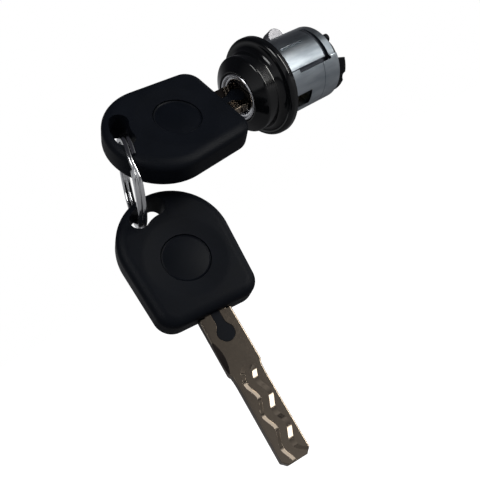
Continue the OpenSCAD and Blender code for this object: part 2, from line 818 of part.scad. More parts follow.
barrel_housing();
bezel();
retaining_lug();
lug_spring();
plug();
face_cup();
retaining_clip();
driver();
for (i = [1 : WAFERS]) {
    wafer(i);
    wafer_spring(i);
}
in_lock() key_blade();  // ignition_key_blade
in_lock() key_head();  // ignition_key_head
in_lock() key_disc(0);  // ignition_key_front_disc
in_lock() key_disc(180);  // ignition_key_back_disc
on_ring() key_blade();  // spare_key_blade
on_ring() key_head();  // spare_key_head
on_ring() key_disc(180);  // spare_key_front_disc
on_ring() key_disc(0);  // spare_key_back_disc
split_ring();
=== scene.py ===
# %% [markdown]
# # An ignition lock, its key and a spare key
#
# The real object is a car's ignition lock cylinder: a silver die-cast barrel behind a glossy black
# bezel, a key in the keyway, and a second key that hangs on a split ring. The solids come from a CAD
# model, so every piece here is in metres and in the CAD model's own frame: the lock's axis is Y, its
# front faces -Y, and Z is up.

# %% Load the solids
import math

import bpy
from mathutils import Euler, Matrix, Vector


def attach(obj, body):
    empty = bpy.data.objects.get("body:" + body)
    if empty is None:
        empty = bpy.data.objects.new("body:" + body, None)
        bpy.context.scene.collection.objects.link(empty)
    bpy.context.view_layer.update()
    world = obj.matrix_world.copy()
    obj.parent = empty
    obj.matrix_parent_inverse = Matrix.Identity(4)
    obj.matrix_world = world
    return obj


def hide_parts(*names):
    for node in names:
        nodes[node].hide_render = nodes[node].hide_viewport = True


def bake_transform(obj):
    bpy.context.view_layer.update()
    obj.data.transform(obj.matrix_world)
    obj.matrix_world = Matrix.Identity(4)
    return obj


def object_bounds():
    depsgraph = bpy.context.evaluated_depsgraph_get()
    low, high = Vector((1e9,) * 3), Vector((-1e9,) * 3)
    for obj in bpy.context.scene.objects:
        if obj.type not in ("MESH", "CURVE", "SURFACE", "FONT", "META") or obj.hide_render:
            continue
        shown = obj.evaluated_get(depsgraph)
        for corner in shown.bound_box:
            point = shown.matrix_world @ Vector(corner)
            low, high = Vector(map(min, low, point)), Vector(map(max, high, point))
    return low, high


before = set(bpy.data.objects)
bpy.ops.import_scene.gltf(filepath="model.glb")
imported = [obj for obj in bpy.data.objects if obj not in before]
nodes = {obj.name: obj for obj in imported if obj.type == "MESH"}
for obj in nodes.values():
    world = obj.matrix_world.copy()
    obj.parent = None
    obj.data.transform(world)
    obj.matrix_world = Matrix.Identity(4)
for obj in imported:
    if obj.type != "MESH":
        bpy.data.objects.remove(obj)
cad_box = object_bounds()
MM = 0.001
print("solids:", len(nodes), "box:", [[round(c, 4) for c in corner] for corner in cad_box])

# %% [markdown]
# ## Camera
#
# The camera comes first, because it decides what the eye sees. Its place, its aim and its roll were
# worked out from the outlines of the two key heads and the lock's round flange, which fix a
# perspective. A camera's own axes are right, up and backwards, so those three directions are the
# columns of its matrix.

# %% Camera
CAMERA_PLACE = Vector((162.07, -127.39, -25.95)) * MM
CAMERA_AIM = Vector((-0.8674, 0.4938, -0.0621)).normalized()
CAMERA_UP = Vector((0.2015, 0.4626, 0.8634))
SENSOR_W = 36
LENS = 48
NEAREST = 5 * MM
camera_right = CAMERA_AIM.cross(CAMERA_UP).normalized()
camera_up = camera_right.cross(CAMERA_AIM)

bpy.ops.object.select_all(action="DESELECT")
bpy.ops.object.camera_add()
camera = bpy.context.object
camera.name = "photo_camera"
axes = Matrix((camera_right, camera_up, -CAMERA_AIM)).transposed()
camera.matrix_world = Matrix.Translation(CAMERA_PLACE) @ axes.to_4x4()
camera.data.sensor_width = SENSOR_W
camera.data.lens = LENS
camera.data.clip_start = NEAREST
bpy.context.scene.camera = camera
print("camera lens:", camera.data.lens)

# %% [markdown]
# ## Shader helpers
#
# Colours are written as sRGB hex values, the way a paint program shows them, but shaders need linear
# light, so one function turns them. The others each add one kind of node with its settings and its
# links, so that a finish below reads as a short list.


# %% Colour and nodes
def linear(hex_colour):
    """Linear RGBA of an sRGB hex colour, by the curve of the sRGB standard."""
    channels = [int(hex_colour[i:i + 2], 16) / 255 for i in (1, 3, 5)]
    light = [c / 12.92 if c <= 0.04045 else ((c + 0.055) / 1.055) ** 2.4 for c in channels]
    return (*light, 1.0)


def add(tree, kind, inputs=None, **settings):
    """Adds a node; an input is a value, or another node's output to link."""
    node = tree.nodes.new(kind)
    for name, value in settings.items():
        setattr(node, name, value)
    for name, value in (inputs or {}).items():
        if isinstance(value, bpy.types.NodeSocket):
            tree.links.new(value, node.inputs[name])
        else:
            node.inputs[name].default_value = value
    return node


def new_finish(name):
    """An empty material: itself, its node tree, its output node and its Object coordinates."""
    finish = bpy.data.materials.new(name)
    finish.use_nodes = True
    tree = finish.node_tree
    tree.nodes.clear()
    out = add(tree, "ShaderNodeOutputMaterial")
    place = add(tree, "ShaderNodeTexCoord").outputs["Object"]
    return finish, tree, out, place


# %% Patterns and surfaces
def noise(tree, place, size, detail):
    """Noise with features of this size in millimetres."""
    inputs = {"Vector": place, "Scale": 1 / (size * MM), "Detail": detail}
    return add(tree, "ShaderNodeTexNoise", inputs).outputs["Fac"]


def stretched(tree, place, scale):
    """Coordinates that are scaled along each axis."""
    return add(tree, "ShaderNodeMapping", {"Vector": place, "Scale": scale}).outputs[0]


def ramp(tree, value, first, last):
    """A colour ramp between two stops, each a (place, colour) pair."""
    node = add(tree, "ShaderNodeValToRGB", {"Fac": value})
    for stop, (place, colour) in zip(node.color_ramp.elements, (first, last)):
        stop.position = place
        stop.color = colour
    return node.outputs["Color"]


def between(tree, value, dark, light):
    """A colour between two hex colours."""
    inputs = {"Factor": value, 6: linear(dark), 7: linear(light)}
    return add(tree, "ShaderNodeMix", inputs, data_type="RGBA").outputs[2]


def spread(tree, value, low, high, first=0.0, last=1.0):
    """Takes a value from the range first to last over to the range low to high."""
    inputs = {"Value": value, "From Min": first, "From Max": last, "To Min": low, "To Max": high}
    return add(tree, "ShaderNodeMapRange", inputs).outputs[0]


def relief(tree, height, strength, depth):
    """Normals of a fine relief with this depth in millimetres."""
    inputs = {"Height": height, "Strength": strength, "Distance": depth * MM}
    return add(tree, "ShaderNodeBump", inputs).outputs[0]


def surface(tree, out, inputs):
    """Ends a finish with its one shader."""
    shader = add(tree, "ShaderNodeBsdfPrincipled", inputs)
    tree.links.new(shader.outputs[0], out.inputs["Surface"])


# %% [markdown]
# ## Stage and light
#
# The object was photographed on plain white, so the floor and the world are white to the camera. The
# lamps keep a modest level: black plastic has to stay black. A narrow strip at the right gives the
# bright band along the barrel, and a small lamp at the upper left gives the glints on the bezel and
# on the cup's rim. Two broad lamps, above and at the upper left, lift the keys and the lug; they
# aren't mirrored, which keeps the plastic clear of grey patches. A weak one behind lights the far
# edges. The world is dark overhead, as in a room with a dark ceiling, which gives the metal its
# contrast.

# %% World
WHITE = (1, 1, 1, 1)
HORIZON = (0.86, 0.87, 0.89, 1)
OVERHEAD = (0.05, 0.05, 0.06, 1)
OVERHEAD_FROM = 0.7
ROOM_STRENGTH = 0.7
world = bpy.data.worlds.new("studio")
bpy.context.scene.world = world
world.use_nodes = True
sky = world.node_tree
sky.nodes.clear()
rays = add(sky, "ShaderNodeLightPath").outputs
direction = add(sky, "ShaderNodeTexCoord").outputs["Generated"]
height = add(sky, "ShaderNodeSeparateXYZ", {"Vector": direction}).outputs["Z"]
tone = ramp(sky, height, (0.0, HORIZON), (OVERHEAD_FROM, OVERHEAD))
room = add(sky, "ShaderNodeBackground", {"Color": tone, "Strength": ROOM_STRENGTH})
white = add(sky, "ShaderNodeBackground", {"Color": WHITE, "Strength": 1.0})
direct = {0: rays["Is Camera Ray"], 1: rays["Is Transmission Ray"]}
seen = add(sky, "ShaderNodeMath", direct, operation="MAXIMUM")
mixed = add(sky, "ShaderNodeMixShader", {0: seen.outputs[0], 1: room.outputs[0], 2: white.outputs[0]})
add(sky, "ShaderNodeOutputWorld", {"Surface": mixed.outputs[0]})
print("world nodes:", len(sky.nodes))

# %% Floor
FLOOR_SIZE = 4
FLOOR_DROP = 30 * MM
PAPER = (0.34, 0.34, 0.35, 1)
bpy.ops.mesh.primitive_plane_add(size=FLOOR_SIZE, location=(0, 0, cad_box[0][2] - FLOOR_DROP))
floor = bpy.context.object
floor.name = "floor"
floor_finish, tree, out, place = new_finish("white_paper_sweep")
rays = add(tree, "ShaderNodeLightPath").outputs
paper = add(tree, "ShaderNodeBsdfDiffuse", {"Color": PAPER})
glow = add(tree, "ShaderNodeEmission", {"Color": WHITE, "Strength": rays["Is Camera Ray"]})
both = add(tree, "ShaderNodeAddShader", {0: paper.outputs[0], 1: glow.outputs[0]})
tree.links.new(both.outputs[0], out.inputs["Surface"])
floor.data.materials.append(floor_finish)
print("floor at", round(floor.location.z / MM, 1), "mm")

# %% Lamps
LAMP_TARGET = Vector((0, -30, -20)) * MM


def softbox(name, towards, distance, size, watts, tint, mirrored):
    """A rectangular lamp that faces the object; if not mirrored, it lights but no surface reflects it."""
    aim = Vector(towards).normalized()
    bpy.ops.object.light_add(type="AREA", location=LAMP_TARGET + aim * distance)
    lamp = bpy.context.object
    lamp.name = name
    lamp.rotation_euler = (-aim).to_track_quat("-Z", "Y").to_euler()
    lamp.data.shape = "RECTANGLE"
    lamp.data.size, lamp.data.size_y = size
    lamp.data.energy = watts
    lamp.data.color = linear(tint)[:3]
    lamp.visible_glossy = mirrored


softbox("strip_right", (0.80, 0.50, 0.22), distance=0.5, size=(0.07, 0.34), watts=1.5,
        tint="#FFFDF8", mirrored=True)
softbox("soft_upper_left", (0.25, -0.72, 0.62), distance=0.6, size=(0.45, 0.45), watts=0.3,
        tint="#F4F7FF", mirrored=False)
softbox("glint_upper_left", (0.53, -0.54, 0.65), distance=0.6, size=(0.22, 0.22), watts=1.3,
        tint="#FFFFFF", mirrored=True)
softbox("soft_behind", (0.25, 0.96, 0.12), distance=0.5, size=(0.2, 0.2), watts=0.25,
        tint="#FFFFFF", mirrored=True)
softbox("soft_above", (0.55, 0.1, 0.83), distance=0.7, size=(0.35, 0.35), watts=1.2,
        tint="#FFFFFF", mirrored=False)

# %% [markdown]
# ## Finishes
#
# Each finish starts from the real material and how its surface was made, except two darker ones: painted
# shade in the cast recesses and on the cup's floor, and a painted dark reflection in the blade's scoops.
# Pattern sizes are in millimetres, so that grain, scratches and casting marks have the right scale on every
# piece.


# %% Die-cast zinc
def die_cast_zinc():
    """Zinc alloy from a polished steel die: satin, bluish, with faint flow marks and an orange-peel skin."""
    finish, tree, out, place = new_finish("die_cast_zinc")
    marks = noise(tree, stretched(tree, place, (1.0, 0.25, 1.0)), size=2.6, detail=4.0)
    skin = noise(tree, place, size=0.5, detail=3.0)
    surface(tree, out, {
        "Base Color": ramp(tree, marks, (0.3, linear("#868E95")), (0.7, linear("#A4ABB1"))),
        "Metallic": 1.0,
        "Roughness": spread(tree, marks, low=0.24, high=0.38),
        "Normal": relief(tree, skin, strength=0.12, depth=0.05)})
    return finish


# %% Glossy black moulding
def gloss_black():
    """Black ABS from a polished mould: deep black with a mirror-like skin and a few fine wipe marks."""
    finish, tree, out, place = new_finish("glossy_black_abs")
    wipe = noise(tree, place, size=4, detail=5.0)
    peel = noise(tree, place, size=1.6, detail=1.0)
    surface(tree, out, {
        "Base Color": between(tree, wipe, "#040506", "#0A0B0D"),
        "Roughness": spread(tree, wipe, low=0.08, high=0.2),
        "IOR": 1.5,
        "Specular IOR Level": 0.36,
        "Normal": relief(tree, peel, strength=0.02, depth=0.05)})
    return finish


# %% Grained black moulding
def grained_black(name, dark, light, rough):
    """Black plastic from an etched mould: matt, blue-black, with a fine leather-like grain."""
    finish, tree, out, place = new_finish(name)
    blotch = noise(tree, place, size=7, detail=4.0)
    # The etched grain is about 0.1 mm on the real part; drawn at 0.3 mm so that it shows.
    grain = noise(tree, place, size=0.3, detail=2.0)
    surface(tree, out, {
        "Base Color": between(tree, blotch, dark, light),
        "Roughness": spread(tree, blotch, *rough),
        "IOR": 1.46,
        "Specular IOR Level": 0.07,
        "Normal": relief(tree, grain, strength=0.25, depth=0.04)})
    return finish


# %% Worked metals
def worked_metal(name, dark, light, rough, grit, streak=(1, 1, 1), strength=0.02):
    """Rolled, drawn or plated metal: fine scratches, long ones if streaked, over a slow change of tone."""
    finish, tree, out, place = new_finish(name)
    scratch = noise(tree, stretched(tree, place, streak), size=grit, detail=5.0)
    slow = noise(tree, place, size=6, detail=3.0)
    surface(tree, out, {
        "Base Color": between(tree, slow, dark, light),
        "Metallic": 1.0,
        "Roughness": spread(tree, scratch, *rough, first=0.3, last=0.7),
        "Normal": relief(tree, scratch, strength=strength, depth=0.03)})
    return finish


# %% Make the finishes
zinc = die_cast_zinc()
bezel_black = gloss_black()
head_black = grained_black("key_head_plastic", "#07090D", "#0B0E14", rough=(0.42, 0.54))
disc_black = grained_black("key_disc_plastic", "#05070B", "#090C12", rough=(0.36, 0.48))
driver_black = grained_black("driver_nylon", "#06080B", "#0B0E12", rough=(0.4, 0.52))
lug_metal = worked_metal("pale_lug_metal", "#747478", "#88888C", rough=(0.3, 0.42), grit=0.5, strength=0.004)
blade_nickel = worked_metal("nickel_plated_blade", "#776D62", "#827769", rough=(0.1, 0.15), grit=0.6)
# A darker finish that is a painted dark reflection, for the blade's scoops.
scoop_painted_reflection = worked_metal("painted_reflection_scoop", "#302B29", "#3A3431", rough=(0.3, 0.4), grit=0.5)
ring_steel = worked_metal("polished_ring_steel", "#BFC0C2", "#DADBDC", rough=(0.1, 0.2), grit=0.4)
cup_chrome = worked_metal("bright_chrome_cup", "#C6C7CA", "#DCDDDF", rough=(0.22, 0.3), grit=0.6)
# A darker finish that is painted shade, for the barrel's slot and groove and the cup's floor.
recess_painted_shade = worked_metal("painted_shade_recess", "#3C3F45", "#4D5158", rough=(0.5, 0.65), grit=0.5)
plug_brass = worked_metal("turned_plug_brass", "#8F7E58", "#B09D72", rough=(0.24, 0.36), grit=0.4,
                          streak=(1, 0.2, 1))
wafer_brass = worked_metal("stamped_wafer_brass", "#A98A4C", "#CBB072", rough=(0.2, 0.32), grit=0.4)
spring_wire = worked_metal("spring_steel_wire", "#8C8F94", "#B4B7BB", rough=(0.2, 0.32), grit=0.3)
print("finishes:", len(bpy.data.materials))

# %% [markdown]
# ## Modelling helpers
#
# Turned parts are drawn as half of their cross-section and spun about an axis, as on a lathe. Milled
# parts are drawn in plan and lofted between two outlines. Slots, windows and tracks are then cut out,
# the way a cutter would take them. The sizes are the object's own, in millimetres.

# %% Drawing
WELD = 0.001 * MM
FULL_TURN = 360


def take(*pieces):
    """Selects these pieces only; the first one is active."""
    bpy.ops.object.select_all(action="DESELECT")
    for piece in pieces:
        piece.select_set(True)
    bpy.context.view_layer.objects.active = pieces[0]


def draw(name, points):
    """A closed wire through points: one vertex is pulled from point to point. It stays in edit mode."""
    bpy.ops.object.select_all(action="DESELECT")
    bpy.ops.mesh.primitive_plane_add(size=MM)
    piece = bpy.context.object
    piece.name = name
    bpy.ops.object.mode_set(mode="EDIT")
    bpy.ops.mesh.merge(type="CENTER")
    bpy.ops.transform.translate(value=Vector(points[0]) * MM)
    for here, there in zip(points, points[1:] + points[:1]):
        step = (Vector(there) - Vector(here)) * MM
        bpy.ops.mesh.extrude_vertices_move(TRANSFORM_OT_translate={"value": step})
    bpy.ops.mesh.select_all(action="SELECT")
    bpy.ops.mesh.remove_doubles(threshold=WELD)
    return piece


def close_up():
    """Welds what touches, fills what is open, turns the faces outwards and leaves edit mode."""
    bpy.ops.mesh.select_all(action="SELECT")
    bpy.ops.mesh.remove_doubles(threshold=WELD)
    bpy.ops.mesh.fill_holes(sides=0)
    bpy.ops.mesh.normals_make_consistent(inside=False)
    bpy.ops.object.mode_set(mode="OBJECT")


def arc(centre, radius, first, last, steps=6):
    """Points on an arc, from one angle in degrees to another."""
    angles = [math.radians(first + (last - first) * i / steps) for i in range(steps + 1)]
    return [(centre[0] + radius * math.cos(a), centre[1] + radius * math.sin(a)) for a in angles]


def at_height(outline, z):
    """An outline in plan, lifted to a height."""
    return [(x, y, z) for x, y in outline]


# %% Turning and lofting
def spin(name, points, axis, sweep, steps):
    """A solid spun from a closed outline about an axis through the origin."""
    piece = draw(name, points)
    if sweep < FULL_TURN:
        bpy.ops.mesh.edge_face_add()
    bpy.ops.mesh.spin(steps=steps, angle=-math.radians(sweep), center=(0, 0, 0), axis=axis)
    close_up()
    return piece


def turn(name, profile, sweep=FULL_TURN, start=0, steps=192):
    """A solid spun about the lock's axis from (radius, place) pairs, downwards from an angle."""
    angle = math.radians(start)
    points = [(r * math.cos(angle), y, r * math.sin(angle)) for r, y in profile]
    return spin(name, points, (0, 1, 0), sweep, steps)


def turn_flat(name, profile, sweep=FULL_TURN, steps=128):
    """A solid spun about a key's Z axis from (radius, height) pairs."""
    return spin(name, [(r, 0, z) for r, z in profile], (0, 0, 1), sweep, steps)


def loft(name, lower, upper):
    """A solid between two outlines that have the same number of points."""
    top = draw(f"{name}_top", upper)
    bpy.ops.object.mode_set(mode="OBJECT")
    piece = draw(name, lower)
    bpy.ops.object.mode_set(mode="OBJECT")
    take(piece, top)
    bpy.ops.object.join()
    bpy.ops.object.mode_set(mode="EDIT")
    bpy.ops.mesh.select_all(action="SELECT")
    bpy.ops.mesh.bridge_edge_loops()
    close_up()
    return piece


def prism(name, outline, half_height):
    """A solid with the same outline at both ends, as far below its middle plane as above it."""
    return loft(name, at_height(outline, -half_height), at_height(outline, half_height))


# %% Moving and cutting
def moved(*place):
    """A move in millimetres."""
    return Matrix.Translation(Vector(place) * MM)


def about(axis, degrees):
    """A turn about one axis."""
    return Matrix.Rotation(math.radians(degrees), 4, axis)


def turned_by(degrees):
    """A turn about X, then Y, then Z."""
    return Euler([math.radians(a) for a in degrees]).to_matrix().to_4x4()


def settle(piece, place):
    """Moves a piece and writes its new place into its mesh."""
    piece.matrix_world = place
    take(piece)
    bpy.ops.object.transform_apply()


def twin_of(piece, name):
    """A copy of a piece with a mesh of its own."""
    twin = piece.copy()
    twin.data = piece.data.copy()
    twin.name = name
    bpy.context.collection.objects.link(twin)
    return twin


def block(name, x, y, z, angle=0):
    """A box between these ranges, turned about the lock's axis from +X towards +Z."""
    bpy.ops.object.select_all(action="DESELECT")
    bpy.ops.mesh.primitive_cube_add(size=1)
    box = bpy.context.object
    box.name = name
    low, high = (Vector(corner) for corner in zip(x, y, z))
    size = (high - low) * MM
    middle = (high + low) * MM / 2
    settle(box, about("Y", -angle) @ Matrix.Translation(middle) @ Matrix.Diagonal(size).to_4x4())
    return box


# %% Modifiers
def modify(piece, name, kind, **settings):
    """Adds a modifier with these settings."""
    modifier = piece.modifiers.new(name, kind)
    for setting, value in settings.items():
        setattr(modifier, setting, value)
    return modifier


def change(piece, kind, **settings):
    """Adds a modifier and applies it."""
    take(piece)
    modifier = modify(piece, "change", kind, **settings)
    bpy.ops.object.modifier_apply(modifier=modifier.name)


def cut(piece, *cutters):
    """Cuts a piece with others, which are then thrown away."""
    for cutter in cutters:
        change(piece, "BOOLEAN", operation="DIFFERENCE", solver="EXACT", object=cutter)
        bpy.data.objects.remove(cutter)


def bevel(edge, segments, angle):
    """Settings that round all edges above an angle, by this many millimetres."""
    return {"width": edge * MM, "segments": segments, "limit_method": "ANGLE",
            "angle_limit": math.radians(angle), "use_clamp_overlap": True}


def round_edges(piece, edge, segments=2, angle=35):
    """Rounds the edges of a piece for good."""
    change(piece, "BEVEL", **bevel(edge, segments, angle))


# %% Finishing pieces
def weigh(piece):
    """Weighs the normals, so that flats stay flat beside rounded edges."""
    modify(piece, "weigh_normals", "WEIGHTED_NORMAL", keep_sharp=True, weight=60)


def hand_in(piece, node, body, finish, angle=30):
    """Smooths a piece, gives it its finish, hangs it on the body it rides on and hides the solid it
    replaces.
    """
    take(piece)
    bpy.ops.object.shade_smooth_by_angle(angle=math.radians(angle))
    weigh(piece)
    piece.data.materials.clear()
    piece.data.materials.append(finish)
    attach(piece, body)
    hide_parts(node)
    print(piece.name, "faces:", len(piece.data.polygons))


def darken(piece, finish, is_dark):
    """Gives a second, darker finish to the faces whose centres pass a test: painted shade or a painted dark
    reflection.
    """
    piece.data.materials.append(finish)
    for face in piece.data.polygons:
        face.material_index = int(is_dark(face.center))
    print(piece.name, "dark faces:", sum(face.material_index for face in piece.data.polygons))


def within(value, limits, margin=0.0):
    """Whether a value lies between two limits that are widened by a margin."""
    return limits[0] - margin < value < limits[1] + margin


# %% [markdown]
# ## Barrel
#
# On the real lock this is one zinc die casting: a nose that carries the bezel, a seat ring, an upper
# shell, and a lower shell that stands a little prouder. The step between the shells, the long slot on
# it, the crescent groove at the rear and the window over the wafers are what the eye finds on it. It
# could be kept as the faceted solid, but a lathe with many steps gives a clean highlight along the
# cylinder, so it is turned and then cut.

# %% Turn the barrel
BORE_R = 8.05
TAIL_R = 6.55
NOSE_R = 10.2
NOSE_FRONT = -7
SEAT_R = 12.45
SEAT_END = 2.4
UPPER_R = 11.95
UPPER_END = 22.4
CAVITY_R = 10.2
CAVITY_FLOOR = 20.5
WALL_FRONT = 18.5
EDGE = 0.15
nose = [(BORE_R, NOSE_FRONT), (NOSE_R - 0.25, NOSE_FRONT), (NOSE_R, NOSE_FRONT + 0.25), (NOSE_R, 0)]
seat_ring = [(SEAT_R - EDGE, 0), (SEAT_R, EDGE), (SEAT_R, SEAT_END - EDGE), (SEAT_R - EDGE, SEAT_END)]
upper_shell = [(UPPER_R, SEAT_END), (UPPER_R, UPPER_END - 0.25), (UPPER_R - 0.05, UPPER_END - 0.1),
               (UPPER_R - 0.25, UPPER_END)]
cavity = [(CAVITY_R + EDGE, UPPER_END), (CAVITY_R, UPPER_END - EDGE), (CAVITY_R, CAVITY_FLOOR)]
tail_wall = [(TAIL_R, CAVITY_FLOOR), (TAIL_R, WALL_FRONT), (BORE_R, WALL_FRONT)]
barrel = turn("barrel_casting", nose + seat_ring + upper_shell + cavity + tail_wall)
print("barrel faces:", len(barrel.data.polygons))

# %% Turn the lower shell
LOWER_R = 12.2
LOWER_END = 23
LOWER_FRONT = 0.2
LOWER_INSIDE = 11.4
LIP_R = 10.15
LIP_START = 21
LINE_AT = 16
LINE_FLOOR = 11.98
SLOT_ANGLE = -13
SHELL_TOP = -11.17
SHELL_SWEEP = 150
lip = [(LIP_R, LIP_START), (LIP_R, LOWER_END - EDGE), (LIP_R + EDGE, LOWER_END)]
rear_edge = [(LOWER_R - 0.25, LOWER_END), (LOWER_R - 0.05, LOWER_END - 0.08), (LOWER_R, LOWER_END - 0.25)]
fine_line = [(LOWER_R, LINE_AT + 0.25), (LINE_FLOOR, LINE_AT + 0.15), (LINE_FLOOR, LINE_AT - 0.15),
             (LOWER_R, LINE_AT - 0.25)]
inside = [(LOWER_R, LOWER_FRONT), (LOWER_INSIDE, LOWER_FRONT), (LOWER_INSIDE, LIP_START)]
shell = turn("barrel_lower_shell", lip + rear_edge + fine_line + inside, SHELL_SWEEP, SHELL_TOP, 96)
print("shell faces:", len(shell.data.polygons))

# %% Cut the slot, the window, the groove and the lug's pocket
KEY_ROLL = 60
OUTSIDE = 16
SLOT_X = (9.8, OUTSIDE)
SLOT_Y = (6, 20)
SLOT_Z = (-0.65, 0.65)
WINDOW_X = (6, OUTSIDE)
WINDOW_Y = (2.6, 10)
WINDOW_Z = (-2.7, 2.7)
GROOVE_R = 12.8
GROOVE_Y = (17.9, 19.7)
GROOVE_SWEEP = 90
GROOVE_SHIFT = 1.9
POCKET_X = (-2.1, 2.1)
POCKET_Y = (10.1, 16.3)
POCKET_Z = (8.85, OUTSIDE)
for part in (barrel, shell):
    slot = block("slot_cutter", SLOT_X, SLOT_Y, SLOT_Z, SLOT_ANGLE)
    window = block("window_cutter", WINDOW_X, WINDOW_Y, WINDOW_Z, -KEY_ROLL)
    cut(part, slot, window)
groove_profile = [(GROOVE_R, GROOVE_Y[0]), (OUTSIDE, GROOVE_Y[0]),
                  (OUTSIDE, GROOVE_Y[1]), (GROOVE_R, GROOVE_Y[1])]
groove = turn("groove_cutter", groove_profile, GROOVE_SWEEP, SLOT_ANGLE + GROOVE_SWEEP, 96)
outwards = math.radians(SLOT_ANGLE)
shift = Vector((-math.cos(outwards), 0, -math.sin(outwards))) * GROOVE_SHIFT * MM
settle(groove, Matrix.Translation(shift))
cut(barrel, groove, block("pocket_cutter", POCKET_X, POCKET_Y, POCKET_Z))
print("cut barrel faces:", len(barrel.data.polygons))

# %% Join the shells and add the parting line
PARTING_ANGLE = 29.5
PARTING_Y = (4.6, 13.4)
PARTING_Z = (-0.75, -0.2)
PARTING_X = (11.7, 14)
RIB_Z = (-0.2, 0.3)
RIB_X = (11.6, 12.15)
cut(barrel, block("parting_cutter", PARTING_X, PARTING_Y, PARTING_Z, PARTING_ANGLE))
rib = block("parting_rib", RIB_X, PARTING_Y, RIB_Z, PARTING_ANGLE)
round_edges(rib, 0.1)
round_edges(shell, 0.12)
take(barrel, shell, rib)
bpy.ops.object.join()
hand_in(barrel, "barrel_housing", "lock", zinc)

# %% Paint shade into the cast recesses
SLOT_DARK_X = (9.7, 12.1)
SLOT_DARK_MARGIN = 0.1
SIDE_MARGIN = 0.01
GROOVE_DARK_R = (10.4, 11.9)
GROOVE_DARK_MARGIN = 0.05
to_slot = about("Y", SLOT_ANGLE).to_3x3()


def in_recess(centre):
    """Whether a face of the barrel is in the slot or in the groove."""
    spot = to_slot @ centre / MM
    in_slot = (within(spot.x, SLOT_DARK_X) and within(spot.y, SLOT_Y, SLOT_DARK_MARGIN)
               and within(spot.z, SLOT_Z, SIDE_MARGIN))
    in_groove = (within(math.hypot(spot.x, spot.z), GROOVE_DARK_R) and spot.x > 0 and spot.z > 0
                 and within(spot.y, GROOVE_Y, GROOVE_DARK_MARGIN))
    return in_slot or in_groove


# The faces in the slot and in the groove get the darker finish: painted shade.
darken(barrel, recess_painted_shade, in_recess)

# %% [markdown]
# ## Bezel
#
# The bezel is one glossy moulding: a thick flange with a full radius, a hollow that runs up into the
# collar, and a sloped front with a small lip round the opening. On black plastic only the reflections
# show the form, so the profile has true arcs and many steps.

# %% Turn the bezel
FRONT_SLOPE = 26.2
flange = arc((14.45, -1.3), 1.3, 0, -90, 12)
hollow = arc((14.3, -4.8), 2.2, 90, 180, 14)
collar = arc((11.2, -7.9), 0.9, 0, FRONT_SLOPE - 90, 10)
opening = arc((8.05, -10.35), 0.45, FRONT_SLOPE - 90, -180, 10)
back = [(7.6, -7.04), (10.24, -7.04), (10.24, -0.02), (15.6, -0.02), (15.75, -0.17)]
bezel = turn("bezel_moulding", flange + hollow + collar + opening + back, steps=256)
hand_in(bezel, "bezel", "lock", bezel_black)

# %% [markdown]
# ## Face cup
#
# The plated cup on the front of the plug has a rolled rim, a fine groove inside it, and a wall that
# leads the key into the slot. It is a pressing, so its edges are soft; a turned profile with the
# key's slot cut through gives it. Little light reaches its floor, so that is left dark.

# %% Turn the cup and cut the keyway
NEAR_AXIS = 0.001
CUP_BACK = -7.02
CUP_FLOOR = -7.8
KEYWAY_X = (-5.15, 5.15)
KEYWAY_Y = (-12, -5)
KEYWAY_Z = (-1.65, 1.65)
rolled_rim = arc((6.94, -10.42), 0.5, 0, -165, 16)
rim_groove = [(6.42, -10.2), (6.3, -10.24)]
mouth = arc((5.9, -9.96), 0.3, -90, -170, 8)
wall = [(5.4, -8.35), (5.3, -8.02), (5.15, -7.86), (4.9, CUP_FLOOR)]
base = [(NEAR_AXIS, CUP_FLOOR), (NEAR_AXIS, CUP_BACK), (7.44, CUP_BACK)]
cup = turn("face_cup_pressing", rolled_rim + rim_groove + mouth + wall + base, steps=160)
cut(cup, block("keyway_cutter", KEYWAY_X, KEYWAY_Y, KEYWAY_Z, -KEY_ROLL))
round_edges(cup, 0.1, 2, 40)
hand_in(cup, "face_cup", "rotor", cup_chrome)

# %% Paint shade on the floor of the cup
CUP_DARK_FROM = -8.1
CUP_DARK_R = 5.1


def on_cup_floor(centre):
    """Whether a face of the cup is on its floor or behind it."""
    spot = centre / MM
    return spot.y > CUP_DARK_FROM and math.hypot(spot.x, spot.z) < CUP_DARK_R


# The floor of the cup gets the darker finish: painted shade.
darken(cup, recess_painted_shade, on_cup_floor)

# %% [markdown]
# ## Keys
#
# Both keys are the same, so each piece is modelled once, flat, and copied to the key in the lock and
# to the spare. In a key's own frame X is across the blade, Y runs from the middle of the head's round
# end to the tip, and Z is out of its face.

# %% Places of the two keys
KEYS = {
    "ignition_key": moved(0, -40.4, 0) @ about("Y", KEY_ROLL),
    "spare_key": moved(-3.82965, -52.3321, -29.2485) @ turned_by((-109.5, 7, 83)),
}


def copy_to_keys(piece, node, finish):
    """Puts a copy of a piece on each key and throws the flat one away."""
    for key, place in KEYS.items():
        twin = twin_of(piece, f"{key}_{piece.name}")
        settle(twin, place)
        hand_in(twin, f"{key}_{node}", key, finish)
    bpy.data.objects.remove(piece)


print("keys:", list(KEYS))

# %% [markdown]
# ### Head
#
# The head is a grained moulding with a round end, straight sides that draw in, and two rounded
# corners. Its rim is a wide soft round, so the outline is inset and lifted in small steps, and the
# half head is mirrored: the mirror plane is where the mould parts, and a hair of flash stands there.
# The dish, the disc's seat, the lowered end and the ring hole are cut.

# %% Pull up half a head
HEAD_R = 16.5
HEAD_FOOT = 22.9
CORNER = (9.9, 17.4)
CORNER_R = 5.5
SIDE_LEAN = 3.69
head_plan = (arc((0, 0), HEAD_R, 180 - SIDE_LEAN, 360 + SIDE_LEAN, 72)
             + arc(CORNER, CORNER_R, SIDE_LEAN, 90, 18)
             + arc((-CORNER[0], CORNER[1]), CORNER_R, 90, 180 - SIDE_LEAN, 18))
head = draw("head_moulding", at_height(head_plan, 0))
bpy.ops.mesh.edge_face_add()
